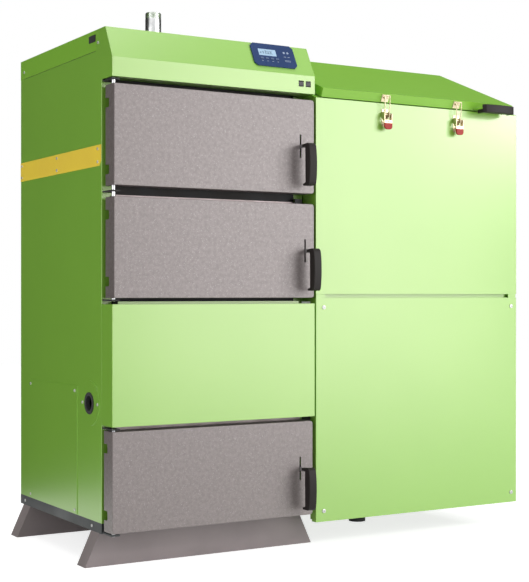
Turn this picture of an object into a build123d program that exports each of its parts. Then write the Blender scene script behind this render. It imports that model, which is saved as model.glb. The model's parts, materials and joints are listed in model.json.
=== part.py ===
from build123d import *
import math
import os

# A free-standing pellet boiler with a hopper on its right side, in millimetres.
# While it is drawn, x = 0 is the outside of the left side sheet, y = 0 the front fold of the side
# sheets and z = 0 the floor. Every piece is then moved so that the origin is under the middle of
# the whole object.

# Boiler casing
width = 615.0
depth = 594.0
height = 1400.0
reach = 67.0                # doors, front cover and fascia stand this far in front of the side sheets
sheet = 1.5
foot_height = 87.0
foot_spread = 40.0          # how much further the feet reach at the floor, each side
foot_fold = 53.0
foot_sheet = 4.0
front_foot_y = 15.0
rear_foot_y = 515.0
rail_height = 27.0
rail_top = foot_height + rail_height
fold = 28.0                 # front fold of a side sheet
cowl_join = 34.0            # where the control cowl meets the top cover
cover_side = 55.0
slope_top_y = -23.0
slope_foot_z = 1316.0
fascia_bottom = 1266.0
front_cover_low = 369.0
front_cover_high = 683.0

# Welded vessel inside the casing
vessel_left = 35.0
vessel_right = 580.0
vessel_front = 6.0
vessel_rear = 560.0
vessel_top = 1335.0
chamber_left = 75.0
chamber_right = 540.0
chamber_front = 40.0
chamber_rear = 520.0
ash_floor = 130.0
hearth_low = 390.0
hearth_high = 430.0
chamber_top = 960.0
smoke_low = 1022.0
smoke_high = 1216.0
tube_sheet_y = 115.0
rear_box_y = 440.0
flue_tube_r = 24.0

# Doors: lower edge and left edge of each
door_width = 607.0
door_height = 260.5
door_sheet = 3.0
door_back = -13.0
upper_door = (5.5, 988.5)
middle_door = (5.5, 699.0)
lower_door = (1.0, 96.0)
doorway_margin = 36.0
hinge_x = 11.0
hinge_y = -50.0
pin_r = 5.0
running = 0.05              # radial running clearance of pins
slot_height = 64.0
slot_width = 5.0
arm_width = 4.0
handle_pivot_y = -38.0
handle_pin_r = 4.0
grip_length = 112.0
grip_width = 24.0
grip_front = -121.0
grip_back = -96.0

# Connections
flue_r = 79.5
flue_x = 307.5
flue_z = 1119.0
flue_end = 680.0
pipe_r = 23.9
pipe_bore_r = 20.9
flow_x = 360.0
flow_y = 435.0
flow_top = 1556.0
return_x = 500.0
return_z = 200.0
return_end = 650.0

# Burner and feeder
burner_x = 307.0
feeder_y = 245.0
feeder_z = 336.0
tube_r = 38.0
tube_bore_r = 35.0
pot_r = 104.0
air_slots = 16
flight_r = 33.0
auger_shaft_r = 12.0
auger_pitch = 60.0
feeder_end = 1090.0

# Hopper
hopper_left = 619.0
hopper_right = 1353.0
hopper_rear = 555.0
hopper_low = 72.0
panel_top = 698.5
hopper_waist = 709.0
rim_front_z = 1258.0
lid_left = 639.0
lid_right = 1332.0
lid_front_y = -73.0
lid_front_z = 1286.0
lid_slope = 22.0
lid_length = 384.0
lid_skirt = 26.0
hopper_x = (hopper_left + hopper_right) / 2
inlet = 120.0
hopper_foot_x = 975.0
hopper_foot_r = 26.0
latch_offset = 131.0
latch_pivot_y = -74.0
latch_pivot_z = 1226.0
latch_width = 27.0
latch_pin_r = 2.0
bail_pivot_y = -78.5
bail_pivot_z = 1213.0
bail_top_y = -81.5
bail_top_z = 1280.0
wire_r = 1.4
lid_hinge_xs = (740.0, 986.0, 1232.0)
lid_hinge_y = 299.0
lid_hinge_z = 1404.6
knuckle_r = 4.8
lid_pin_r = 2.5
lid_handle_left = 1192.0
lid_handle_low = 1252.0

# Controls
panel_left = 427.0
panel_right = 563.0
panel_low = 18.0            # up the slope from its foot
panel_high = 93.0
panel_thick = 4.0
switch_z = 1292.5
switch_xs = (570.3, 593.3)
switch_pivot_y = -61.0
key_xs = (-41.0, -24.7, -8.4, 7.9)
key_up = -12.5
key_travel = 1.0
key_wide = 10.0
key_tall = 6.0
display_at = (-19.0, 8.0)
display_size = (56.0, 22.0)

# The shift to the object's own origin
box_left = -foot_spread
box_right = hopper_right
box_front = grip_front
box_rear = flue_end
shift = Pos(-(box_left + box_right) / 2, -(box_front + box_rear) / 2, 0)


def block(x0, x1, y0, y1, z0, z1):
    return Pos((x0 + x1) / 2, (y0 + y1) / 2, (z0 + z1) / 2) * Box(x1 - x0, y1 - y0, z1 - z0)


def rod_x(r, x0, x1, y, z):
    return Pos((x0 + x1) / 2, y, z) * Rot(0, 90, 0) * Cylinder(r, x1 - x0)


def rod_y(r, y0, y1, x, z):
    return Pos(x, (y0 + y1) / 2, z) * Rot(90, 0, 0) * Cylinder(r, y1 - y0)


def rod_z(r, z0, z1, x, y):
    return Pos(x, y, (z0 + z1) / 2) * Cylinder(r, z1 - z0)


def prism_x(points, x0, x1):
    """A closed outline of (y, z) points, drawn out along x."""
    face = make_face(Polyline(*points, close=True))
    return extrude(Plane.YZ.offset(x0) * face, amount=x1 - x0)


def prism_y(points, y0, y1):
    """A closed outline of (x, z) points, drawn out along y."""
    face = make_face(Polyline(*points, close=True))
    return extrude(Plane.XZ.offset(-y1) * face, amount=y1 - y0)


def prism_z(points, z0, z1):
    """A closed outline of (x, y) points, drawn out along z."""
    face = make_face(Polyline(*points, close=True))
    return extrude(Plane.XY.offset(z0) * face, amount=z1 - z0)


def group(solids):
    return Compound(children=list(solids))


def save(name, shape):
    export_step(shift * shape, f"parts/{name}.step")


def doorway(door):
    """Left, right, bottom and top of the opening behind a door."""
    left, low = door
    return chamber_left, chamber_right, low + doorway_margin - 2, low + door_height - doorway_margin


def feet():
    """Two folded-sheet feet: a web in front, and folds going back along all four edges."""
    outer = [(-foot_spread, 0), (width + foot_spread, 0), (width, foot_height), (0, foot_height)]
    slant = foot_spread / foot_height
    low, high = foot_sheet, foot_height - foot_sheet
    wide_low = foot_spread - slant * low - foot_sheet
    wide_high = foot_spread - slant * high - foot_sheet
    inner = [(-wide_low, low), (width + wide_low, low), (width + wide_high, high), (-wide_high, high)]
    made = []
    for front in (front_foot_y, rear_foot_y):
        foot = prism_y(outer, front, front + foot_fold)
        foot -= prism_y(inner, front + foot_sheet, front + foot_fold + 1)
        for x in (60, width - 60):
            foot -= rod_z(7, -1, foot_sheet + 1, x, front + foot_fold / 2 + 4)
        made.append(foot)
    return group(made)


def hinge_ear(z, back):
    """A flat ear that carries a door's pin."""
    ear = block(2, 26, -58, back, z, z + 4)
    return ear - rod_z(pin_r, z - 1, z + 5, hinge_x, hinge_y)


def base_frame():
    """The rail under the casing: an upright all round with a flange that the vessel stands on."""
    rail = block(0, width, 0, depth, foot_height, rail_top)
    rail -= block(3, width - 3, 3, depth - 3, foot_height + 3, rail_top + 1)
    rail -= block(60, width - 60, 60, depth - 60, foot_height - 1, foot_height + 4)
    return rail + hinge_ear(lower_door[1] - 7.5, 1)


def boiler_vessel():
    """Water-jacketed vessel: ash chamber, hearth, combustion chamber, smoke boxes and flue tubes."""
    vessel = block(vessel_left, vessel_right, vessel_front, vessel_rear, foot_height + 3, vessel_top)
    for door in (upper_door, middle_door, lower_door):
        left, right, low, high = doorway(door)
        vessel -= block(left, right, vessel_front - 1, chamber_front + 1, low, high)
    vessel -= block(chamber_left, chamber_right, chamber_front, chamber_rear, ash_floor, hearth_low)
    vessel -= block(chamber_left, chamber_right, chamber_front, chamber_rear, hearth_high, chamber_top)
    vessel -= block(chamber_left, chamber_right, chamber_front, tube_sheet_y, chamber_top - 1, smoke_high)
    vessel -= block(chamber_left, chamber_right, rear_box_y, chamber_rear, smoke_low, smoke_high)
    vessel -= rod_z(pot_r + 6, hearth_low - 1, hearth_high + 1, burner_x, feeder_y)
    for left in (chamber_left + 15, chamber_right - 75):
        vessel -= block(left, left + 60, 90, 400, hearth_low - 1, hearth_high + 1)
    for row in range(3):
        for column in range(6):
            x = chamber_left + 48 + column * 74
            z = smoke_low + 33 + row * 63
            vessel -= rod_y(flue_tube_r, tube_sheet_y - 1, rear_box_y + 1, x, z)
    vessel -= rod_y(flue_r - 3, chamber_rear - 1, vessel_rear + 1, flue_x, flue_z)
    vessel -= rod_x(tube_r, chamber_right - 1, vessel_right + 1, feeder_y, feeder_z)
    vessel -= block(chamber_right - 1, vessel_right + 1, 305, 350, 310, 350)
    vessel -= rod_z(pipe_bore_r, vessel_top - 30, vessel_top + 1, flow_x, flow_y)
    return vessel - rod_y(pipe_bore_r, vessel_rear - 30, vessel_rear + 1, return_x, return_z)


def front_plate():
    """Door frame: a thick plate with three doorways, the hinge ears and a catch for each handle."""
    front, back = -2.0, vessel_front
    plate = block(30, 585, front, back, rail_top, 1262)
    for door in (upper_door, middle_door, lower_door):
        left, right, low, high = doorway(door)
        opening = block(left, right, front - 1, back + 1, low, high)
        plate -= fillet(opening.edges().filter_by(Axis.Y), 8)
        catch_x = handle_x(door)
        middle = door[1] + door_height / 2
        catch = block(catch_x - 7, catch_x + 7, -18, front + 1, middle + 12, middle + 15)
        catch += block(catch_x - 7, catch_x + 7, -18, -15, middle + 6.5, middle + 15)
        plate += catch
    ear_heights = (upper_door[1] + door_height + 10.5, 972.5, middle_door[1] - 7.5,
                   lower_door[1] + door_height + 3)
    for z in ear_heights:
        plate += hinge_ear(z, -1.0) + block(20, 32, -6, -1, z, z + 4)
    bracket = block(577, 600, -24, -22.5, 962, 976) + block(577, 600, -24, front + 1, 974.5, 976)
    return plate + bracket


def hinge_pins():
    """Five pins, each fast in its ear and running in the hinge blocks of the doors beside it."""
    top = upper_door[1] + door_height
    lower_top = lower_door[1] + door_height
    spans = [(top - 15, top + 16.5), (middle_door[1] + door_height - 15, upper_door[1] + 15),
             (middle_door[1] - 8.5, middle_door[1] + 15), (lower_top - 15, lower_top + 8),
             (lower_door[1] - 9, lower_door[1] + 15)]
    return group(chamfer(rod_z(pin_r, low, high, hinge_x, hinge_y).edges(), 1) for low, high in spans)


def handle_x(door):
    """The slot's centre; the middle door's slot stands nearer to its edge than the others."""
    return {upper_door: 568.0, middle_door: 583.0, lower_door: 567.0}[door]


def door_shell(door):
    """A folded steel tray with hinge blocks inside its left corners, the handle slot and two notches."""
    left, low = door
    right, high = left + door_width, low + door_height
    middle = low + door_height / 2
    tray = block(left, right, -reach, door_back, low, high)
    corner = tray.edges().filter_by(Axis.Y).group_by(Axis.X)[-1]
    tray = fillet(corner, 8)
    tray = fillet(tray.faces().sort_by(Axis.Y)[0].edges(), 1.5)
    inner = block(left + door_sheet, right - door_sheet, -reach + door_sheet, door_back + 1,
                  low + door_sheet, high - door_sheet)
    tray -= fillet(inner.edges().filter_by(Axis.Y).group_by(Axis.X)[-1], 5)
    for z0, z1 in ((low, low + 20), (high - 20, high)):
        tray += block(left + 1, left + 21, -reach + 1.5, -40, z0, z1)
        tray -= rod_z(pin_r + running, z0 - 1, z1 + 1, hinge_x, hinge_y)
    for z in (low + 30, high - 58):
        notch = block(left - 1, left + door_sheet + 1, door_back - 22, door_back + 22, z, z + 25)
        tray -= fillet(notch.edges().filter_by(Axis.X), 6)
    x = handle_x(door)
    for ear_left in (x - 8, x + 5):
        tray += block(ear_left, ear_left + 3, -reach + 1.5, -30, middle - 11, middle + 9)
    tray -= rod_x(handle_pin_r + running, x - 10, x + 10, handle_pivot_y, middle - 1)
    return tray - block(x - slot_width / 2, x + slot_width / 2, -reach - 1, -reach + door_sheet + 1,
                        middle - slot_height / 2, middle + slot_height / 2)


def door_liner(door):
    """Inner plate, proud of the tray's top, with the folded heat shield that enters the doorway."""
    left, low = door
    way_left, way_right, way_low, way_high = doorway(door)
    x = handle_x(door)
    middle = low + door_height / 2
    plate = block(30, 600, door_back, door_back + 3, low + 4, low + door_height + 8)
    plate -= block(x - 10, x + 10, door_back - 1, door_back + 4, middle - 30, middle + 22)
    shield = block(way_left + 15, way_right - 17, door_back + 2, 25, way_low + 14, way_high - 14)
    shield = fillet(shield.faces().sort_by(Axis.Y)[-1].edges(), 5)
    shield -= block(way_left + 18, way_right - 20, door_back - 1, 22, way_low + 17, way_high - 17)
    return plate + shield


def door_seal(door):
    """Square braided rope round the doorway, between the inner plate and the door frame."""
    way_left, way_right, way_low, way_high = doorway(door)
    near, far = 3.0, 11.0
    back, front = door_back + 3, -2.3
    rope = block(way_left - far, way_right + far, back, front, way_low - far, way_high + far)
    rope = fillet(rope.edges().filter_by(Axis.Y), 18)
    inside = block(way_left - near, way_right + near, back - 1, front + 1, way_low - near, way_high + near)
    return rope - fillet(inside.edges().filter_by(Axis.Y), 10)


def handle_lever(door):
    """Flat lever on a cross pin: the arm comes out of the slot, the hook reaches back to the catch."""
    x = handle_x(door)
    middle = door[1] + door_height / 2
    low, high = middle - 6, middle + 4
    tip = grip_back - 12
    outline = [(tip, low), (-62, low), (-48, low - 4), (-30, low - 4), (-7, low - 2), (-7, middle + 6),
               (-13, middle + 6), (-14, low + 3), (-30, high + 3), (-48, high + 3), (-62, high), (tip, high)]
    arm = prism_x(outline, x - arm_width / 2, x + arm_width / 2)
    return arm + rod_x(handle_pin_r, x - 9, x + 9, handle_pivot_y, middle - 1)


def grip_body(length):
    """The moulded grip, standing: bowed in front, flat behind, with a toe at its free end.
    Its arm end is at z = 0 and it hangs down; y runs as on the doors."""
    outline = [
        Line((grip_back, 4), (grip_front + 14, 5)),
        ThreePointArc((grip_front + 14, 5), (grip_front + 9, 3), (grip_front + 7, -4)),
        ThreePointArc((grip_front + 7, -4), (grip_front, -length * 0.5), (grip_front + 6, -length + 8)),
        ThreePointArc((grip_front + 6, -length + 8), (grip_front + 9, -length + 1.5),
                      (grip_front + 16, -length)),
        Line((grip_front + 16, -length), (grip_back + 9, -length - 1)),
        ThreePointArc((grip_back + 9, -length - 1), (grip_back + 13, -length + 3),
                      (grip_back + 9, -length + 7)),
        Line((grip_back + 9, -length + 7), (grip_back + 2, -length + 9)),
        Line((grip_back + 2, -length + 9), (grip_back, 4)),
    ]
    profile = make_face(outline)
    body = extrude(Plane.YZ * profile, amount=grip_width)
    long_edges = body.edges().filter_by(Plane.YZ)
    return fillet(long_edges, 2.5)


def handle_grip(door):
    x = handle_x(door)
    middle = door[1] + door_height / 2
    grip = Pos(x - arm_width / 2 - 1.5, 0, middle + 1) * grip_body(grip_length)
    return grip - handle_lever(door)


def side_sheet(right):
    """One side of the casing with its folds and the cheek beside the controls. The left one is
    drawn, with its openings; the right one is the same sheet turned over, with others."""
    outline = [(0, rail_top), (depth - sheet, rail_top), (depth - sheet, height - cover_side),
               (cowl_join, height - cover_side), (cowl_join, height), (slope_top_y, height),
               (-reach, slope_foot_z), (-reach, fascia_bottom), (0, fascia_bottom)]
    side = prism_x(outline, 0, sheet)
    side += block(0, fold, 0, sheet, rail_top, fascia_bottom - 0.5)
    side += block(0, 20, depth - 2 * sheet, depth - sheet, rail_top, height - cover_side)
    upright = side.edges().filter_by(Axis.Z)
    bend = [edge for edge in upright if math.hypot(edge.center().X, edge.center().Y) < 0.1]
    side = fillet(bend, 1.4)
    if not right:
        side -= block(-1, 3, 180, 505, 135, 440)
        return side - rod_x(45, -1, 3, 75.5, 421)
    side = mirror(side, Plane.YZ.offset(width / 2))
    side -= rod_x(tube_r + 4, width - 3, width + 1, feeder_y, feeder_z)
    return side - block(width - 3, width + 1, 301, 354, 306, 354)


def rear_panel():
    """Rear sheet with holes for the flue and the return pipe."""
    panel = block(sheet, width - sheet, depth - sheet, depth, rail_top, height - cover_side)
    panel -= rod_y(flue_r + 3, depth - 3, depth + 1, flue_x, flue_z)
    return panel - rod_y(pipe_r + 3, depth - 3, depth + 1, return_x, return_z)


def top_cover():
    """Folded pan over the vessel, with a hole for the flow pipe and one for a cable plug."""
    cover = block(0, width, cowl_join, depth, height - cover_side, height)
    cover -= block(sheet, width - sheet, cowl_join - 1, depth - sheet,
                   height - cover_side - 1, height - sheet)
    cover -= rod_z(pipe_r + 2, height - 3, height + 1, flow_x, flow_y)
    return cover - block(-1, 3, 41, 76, 1373, 1386)


def bent_sheet(points, x0, x1, thickness=sheet):
    """A sheet folded along x: its outer line is given as (y, z) points, the metal lies to the left."""
    line = Polyline(*points)
    inner = offset(line, amount=thickness, side=Side.LEFT, kind=Kind.INTERSECTION, closed=True)
    return extrude(Plane.YZ.offset(x0) * make_face(inner), amount=x1 - x0)


def slope_plane(x, up=0.0, out=0.0):
    """A plane on the control slope: x across, y up the slope, z outwards."""
    rise = height - slope_foot_z
    run = slope_top_y + reach
    length = math.hypot(rise, run)
    outward = (0, -rise / length, run / length)
    upward = (0, run / length, rise / length)
    origin = (x, -reach + upward[1] * up + outward[1] * out,
              slope_foot_z + upward[2] * up + outward[2] * out)
    return Plane(origin, x_dir=(1, 0, 0), z_dir=outward)


def control_cowl():
    """Folded cowl between the cheeks: top strip, slope, fascia and its return under the fascia."""
    points = [(-12, fascia_bottom), (-reach, fascia_bottom), (-reach, slope_foot_z), (slope_top_y, height),
              (cowl_join, height)]
    cowl = bent_sheet(points[::-1], sheet, width - sheet)
    middle = (panel_left + panel_right) / 2
    cut = Rectangle(panel_right - panel_left - 20, panel_high - panel_low - 20)
    cowl -= extrude(slope_plane(middle, (panel_low + panel_high) / 2, -5) * cut, amount=10)
    for x in switch_xs:
        cowl -= block(x - 7.3, x + 7.3, -reach - 1, -reach + 3, switch_z - 7.3, switch_z + 7.3)
        for side in (-1, 1):
            inner, outer = sorted((x + side * 7.5, x + side * 8.7))
            ear = block(inner, outer, -reach + 1, switch_pivot_y + 3, switch_z - 4, switch_z + 4)
            cowl += ear
        cowl -= rod_x(1 + running, x - 9, x + 9, switch_pivot_y, switch_z)
    return cowl


def rocker(x):
    """A small rocker with two flats that meet at its middle and a cross pin through its body."""
    outline = [(-reach - 0.6, switch_z), (-reach + 0.3, switch_z + 5.8), (-reach + 8, switch_z + 4.5),
               (-reach + 8, switch_z - 4.5), (-reach + 0.9, switch_z - 5.8)]
    return prism_x(outline, x - 6.8, x + 6.8) + rod_x(1, x - 8.5, x + 8.5, switch_pivot_y, switch_z)


def front_cover():
    """Folded cover between the middle and the lower door, with a lip standing up behind its top."""
    cover = block(0, width, -reach, 0, front_cover_low, front_cover_high)
    cover = fillet(cover.edges().filter_by(Axis.Z).group_by(Axis.Y)[0], 1.2)
    cover -= block(sheet, width - sheet, -reach + sheet, 1, front_cover_low + sheet, front_cover_high - sheet)
    cover -= block(sheet, width - sheet, -30, 1, front_cover_low - 1, front_cover_high + 1)
    return cover + block(32, 585, -31.5, -30, front_cover_high - sheet, front_cover_high + 7)


def access_panel():
    panel = block(-sheet, 0, 161, 523, rail_top + 1, 461)
    return fillet(panel.edges().filter_by(Axis.X), 3)


def port_cover():
    return rod_x(60, -sheet, 0, 75.5, 421) - rod_x(25, -sheet - 1, 1, 75.5, 421)


def cable_grommets():
    """A rubber ring in the port cover, and a plug that closes the cable hole of the top cover."""
    ring = rod_x(29, -4.5, -sheet, 75.5, 421) + rod_x(25, -4.5, 8, 75.5, 421)
    ring -= rod_x(20, -6, 9, 75.5, 421)
    ring = fillet(ring.edges().group_by(Axis.X)[0], 1)
    plug = block(-2, 0, 38, 79, 1370.5, 1388.5) + block(-1, 10, 41, 76, 1373, 1386)
    return group([ring, plug])


def trim_strip():
    outline = [(13, 1043), (depth - 2, 1043), (depth - 2, 1098), (1, 1098), (1, 1056)]
    return prism_x(outline, -1.2, 0)


def screw(x, y, z, axis, r, tall):
    """A round screw head that stands on a sheet."""
    return Plane((x, y, z), z_dir=axis) * Cylinder(r, tall, align=(Align.CENTER, Align.CENTER, Align.MIN))


def casing_screws():
    """All screw heads of the boiler's casing and of the hopper's lower front panel."""
    left = [(0, 22, 1365), (0, 564, 1365), (0, 62, 100), (0, 555, 100),
            (-sheet, 176, 448), (-sheet, 508, 448), (-sheet, 176, 126), (-sheet, 508, 126),
            (-sheet, 23.5, 421), (-sheet, 122, 421)]
    left += [(-1.2, y, z) for y in (22, 305, 580) for z in (1054, 1088)]
    right = [(width, 22, 1365), (width, 564, 1365), (width, 62, 100), (width, 555, 100)]
    front = [(x, -reach, z) for x in (hopper_left + 26, hopper_right - 21) for z in (102, 672)]
    rear = [(x, depth, z) for x in (60, width - 60) for z in (150, 700, 1300)]
    made = [screw(*at, (-1, 0, 0), 4.2, 2) for at in left]
    made += [screw(*at, (1, 0, 0), 4.2, 2) for at in right]
    made += [screw(*at, (0, -1, 0), 6, 3) for at in front]
    made += [screw(*at, (0, 1, 0), 4.2, 2) for at in rear]
    return group(made)


def water_pipes():
    """Threaded steel stubs: the flow on top and the return low at the rear."""
    flow = rod_z(pipe_r, vessel_top, flow_top, flow_x, flow_y)
    flow -= rod_z(pipe_bore_r, vessel_top - 1, flow_top + 1, flow_x, flow_y)
    back = rod_y(pipe_r, vessel_rear, return_end, return_x, return_z)
    back -= rod_y(pipe_bore_r, vessel_rear - 1, return_end + 1, return_x, return_z)
    return group([flow, back])


def flue_spigot():
    """Round flue outlet with a rolled bead near its end."""
    spigot = rod_y(flue_r, vessel_rear, flue_end, flue_x, flue_z)
    spigot += rod_y(flue_r + 10, vessel_rear, vessel_rear + 4, flue_x, flue_z)
    return spigot - rod_y(flue_r - 3, vessel_rear - 1, flue_end + 1, flue_x, flue_z)


def burner_retort():
    """Cast retort: a bowl on an elbow fed from the right, standing in an air box with its neck."""
    outside = Polyline((0, 385), (70, 385), (pot_r, hearth_high), (pot_r + 26, hearth_high),
                       (pot_r + 26, hearth_high + 8), (pot_r, hearth_high + 8), (pot_r, 505), (0, 505),
                       close=True)
    bowl = Polyline((0, 380), (tube_bore_r, 380), (tube_bore_r, 410), (86, 500), (86, 506), (0, 506),
                    close=True)
    pot = revolve(Plane.XZ * make_face(outside), Axis.Z) - revolve(Plane.XZ * make_face(bowl), Axis.Z)
    for k in range(air_slots):
        pot -= Rot(0, 0, k * 360 / air_slots) * Pos(95, 0, 486) * Box(40, 5, 14)
    box = block(180, 434, 140, 355, 300, 389)
    box -= block(184, 430, 144, 351, 304, 385)
    elbow = rod_z(tube_r + 8, 300, 389, burner_x, feeder_y)
    elbow += rod_x(tube_r + 8, burner_x, 434, feeder_y, feeder_z)
    casting = box + elbow + Pos(burner_x, feeder_y, 0) * pot
    casting += block(430, width, 305, 350, 310, 350)
    casting -= block(429, width + 1, 308, 347, 313, 347)
    casting -= rod_z(tube_bore_r, feeder_z, 411, burner_x, feeder_y)
    casting -= rod_x(tube_bore_r, burner_x, 346, feeder_y, feeder_z)
    return casting - rod_x(tube_r, 345, 435, feeder_y, feeder_z)


def combustion_fan():
    """Centrifugal fan beside the feeder: scroll, outlet duct, inlet ring and motor."""
    x, z = 725.0, 370.0
    fan = rod_y(75, 303, 352, x, z)
    fan += block(width, x, 303, 352, 308, 352)
    fan -= block(width - 1, x - 10, 305, 350, 310, 350)
    fan -= rod_y(72, 305, 350, x, z)
    fan -= rod_y(32, 300, 306, x, z)
    motor = rod_y(38, 352, 420, x, z)
    return fan + chamfer(motor.edges().group_by(Axis.Y)[-1], 6)


def square_post(half, z0, z1):
    """A square block round the hopper's outlet."""
    return block(hopper_x - half, hopper_x + half, feeder_y - half, feeder_y + half, z0, z1)


def feeder_tube():
    """Tube from the retort to the gearbox, with the hopper's square inlet and its cradle."""
    half = inlet / 2
    tube = rod_x(tube_r, 345, feeder_end, feeder_y, feeder_z)
    chute = square_post(half + 3, feeder_z, 400)
    flange = square_post(half + 20, 396, 400)
    end = block(feeder_end - 8, feeder_end, feeder_y - 50, feeder_y + 50, feeder_z - 50, feeder_z + 50)
    cradle = block(hopper_foot_x - 35, hopper_foot_x + 35, feeder_y - 30, feeder_y + 30, 270, 310)
    made = tube + chute + flange + end + cradle
    made -= square_post(half, feeder_z + 1, 401)
    return made - rod_x(tube_bore_r, 344, feeder_end + 1, feeder_y, feeder_z)


def auger():
    """Feed screw: one helical flight on a shaft that ends in the gearbox."""
    start, end = 355.0, 1070.0
    angle = 24.0
    turned = [math.radians(a) for a in (0, angle / 2, angle)]
    points = [(flight_r * math.cos(a), flight_r * math.sin(a)) for a in turned]
    sector = make_face([Line((0, 0), points[0]), ThreePointArc(*points), Line(points[2], (0, 0))])
    turns = (end - start) / auger_pitch
    flight = Solid.extrude_linear_with_rotation(sector.face(), (0, 0, 0), (0, 0, end - start), 360 * turns)
    flight = Pos(start, feeder_y, feeder_z) * Rot(0, 90, 0) * flight
    shaft = rod_x(auger_shaft_r, start, feeder_end + 20, feeder_y, feeder_z)
    return flight + shaft


def gearmotor():
    """Gearbox on the feeder's end flange with a ribbed motor lying behind it."""
    x0 = feeder_end
    box = block(x0, x0 + 100, 195, 295, 286, 386)
    box = fillet(box.edges().filter_by(Axis.X), 12)
    motor = rod_y(48, 294, 440, x0 + 50, feeder_z)
    for k in range(5):
        motor += rod_y(54, 310 + k * 24, 318 + k * 24, x0 + 50, feeder_z)
    motor += block(x0 + 20, x0 + 80, 330, 390, feeder_z + 40, feeder_z + 72)
    made = box + motor + rod_y(52, 440, 462, x0 + 50, feeder_z)
    return made - rod_x(auger_shaft_r + running, x0 - 1, x0 + 22, feeder_y, feeder_z)


def ash_drawer():
    """Open sheet drawer with a bent handle on its front."""
    drawer = block(85, 530, 45, 505, ash_floor, 282)
    drawer -= block(87, 528, 47, 503, ash_floor + 2, 283)
    bar = block(250, 365, 31, 45, 218, 226) - block(256, 359, 37, 46, 217, 227)
    return drawer + fillet(bar.edges().filter_by(Axis.Z).group_by(Axis.Y)[0], 4)


def rim_z(y, out=0.0):
    """Height of the hopper's sloped deck at y, raised by a distance square to it."""
    slope = math.radians(lid_slope)
    return rim_front_z + (y + reach) * math.tan(slope) + out / math.cos(slope)


def hopper_casing():
    """Hopper body: sloped deck with a collared mouth, flat rear deck, stepped waist, four legs."""
    ridge = 283.0
    outline = [(-reach, hopper_waist), (-reach, rim_front_z), (ridge, rim_z(ridge)),
               (hopper_rear, rim_z(ridge)), (hopper_rear, hopper_waist)]
    thin = sheet / math.cos(math.radians(lid_slope))
    inside = [(-reach + sheet, hopper_waist - 1), (-reach + sheet, rim_z(-reach + sheet) - thin),
              (ridge, rim_z(ridge) - thin), (hopper_rear - sheet, rim_z(ridge) - thin),
              (hopper_rear - sheet, hopper_waist - 1)]
    casing = prism_x(outline, hopper_left, hopper_right)
    casing -= prism_x(inside, hopper_left + sheet, hopper_right - sheet)
    front, back = -36.0, 262.0
    collar = [(front, rim_z(front) - thin), (back, rim_z(back) - thin), (back, rim_z(back, 14)),
              (front, rim_z(front, 14))]
    casing += prism_x(collar, 668, 1303)
    mouth = [(front + 2, rim_z(front) - 20), (back - 2, rim_z(back) - 20), (back - 2, rim_z(back, 20)),
             (front + 2, rim_z(front, 20))]
    casing -= prism_x(mouth, 670, 1301)
    shelf = block(hopper_left + sheet, hopper_right - sheet, -reach + sheet, hopper_rear - sheet,
                  hopper_waist, hopper_waist + sheet)
    step = block(625, 1347, -55, 543, 688, hopper_waist + sheet)
    opening = block(625 + sheet, 1347 - sheet, -55 + sheet, 543 - sheet, 687, hopper_waist + 2)
    casing += shelf + step
    casing -= opening
    low, high = hopper_low + 5, hopper_waist + 0.5
    leg = 30.0
    for x0, to_right in ((hopper_left + sheet, True), (hopper_right - sheet, False)):
        for y0, to_back in ((-reach + sheet, True), (hopper_rear - sheet, False)):
            x1 = x0 + leg if to_right else x0 - leg
            y1 = y0 + leg if to_back else y0 - leg
            xi = x0 + 3 if to_right else x0 - 3
            yi = y0 + 3 if to_back else y0 - 3
            casing += block(min(x0, x1), max(x0, x1), min(y0, yi), max(y0, yi), low, high)
            casing += block(min(x0, xi), max(x0, xi), min(y0, y1), max(y0, y1), low, high)
    deck = rim_z(ridge)
    for x in lid_hinge_xs:
        casing += block(x - 24, x + 24, lid_hinge_y + 6, lid_hinge_y + 26, deck - 0.5, deck + 2)
        casing += rod_x(lid_pin_r, x - 24, x + 24, lid_hinge_y, lid_hinge_z)
        for x0, x1 in ((x - 24, x - 10.3), (x + 10.3, x + 24)):
            casing += rod_x(knuckle_r, x0, x1, lid_hinge_y, lid_hinge_z)
            casing += block(x0, x1, lid_hinge_y, lid_hinge_y + 8, deck - 0.5, deck + 2)
    return casing


def hopper_funnel():
    """Sheet funnel from the casing's inside down to the feeder's inlet, with its bottom flange."""
    half = inlet / 2
    low, high = 404.0, 770.0
    middle_y = (-reach + hopper_rear) / 2
    wide = hopper_right - hopper_left - 2 * sheet - 2
    deep = hopper_rear + reach - 2 * sheet - 2

    def bin_end(inward):
        """The funnel's shape, drawn in by a distance: what two tapered prisms have in common."""
        near, far = half + 2 - inward, deep / 2 - inward
        across = prism_x([(feeder_y - near, low), (feeder_y + near, low), (middle_y + far, high),
                          (middle_y - far, high)], hopper_left, hopper_right)
        far = wide / 2 - inward
        return across & prism_y([(hopper_x - near, low), (hopper_x + near, low), (hopper_x + far, high),
                                 (hopper_x - far, high)], -reach, hopper_rear)

    return bin_end(0) - bin_end(sheet) + square_post(half + 20, 400, 404) - square_post(half, 399, 405)


def hopper_front_panel():
    """Screwed lower panel with folded edges."""
    panel = block(hopper_left, hopper_right, -reach, -46, hopper_low, panel_top)
    panel = fillet(panel.edges().filter_by(Axis.Z).group_by(Axis.Y)[0], 1.2)
    return panel - block(hopper_left + sheet, hopper_right - sheet, -reach + sheet, -45,
                         hopper_low + sheet, panel_top + 1)


def hopper_side_panel():
    """Lower right side and, folded round the corner, a low rear part; the rest stays open."""
    side = block(hopper_right - sheet, hopper_right, -46, hopper_rear, hopper_low, panel_top)
    return side + block(640, hopper_right, hopper_rear - sheet, hopper_rear, hopper_low, 235)


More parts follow.
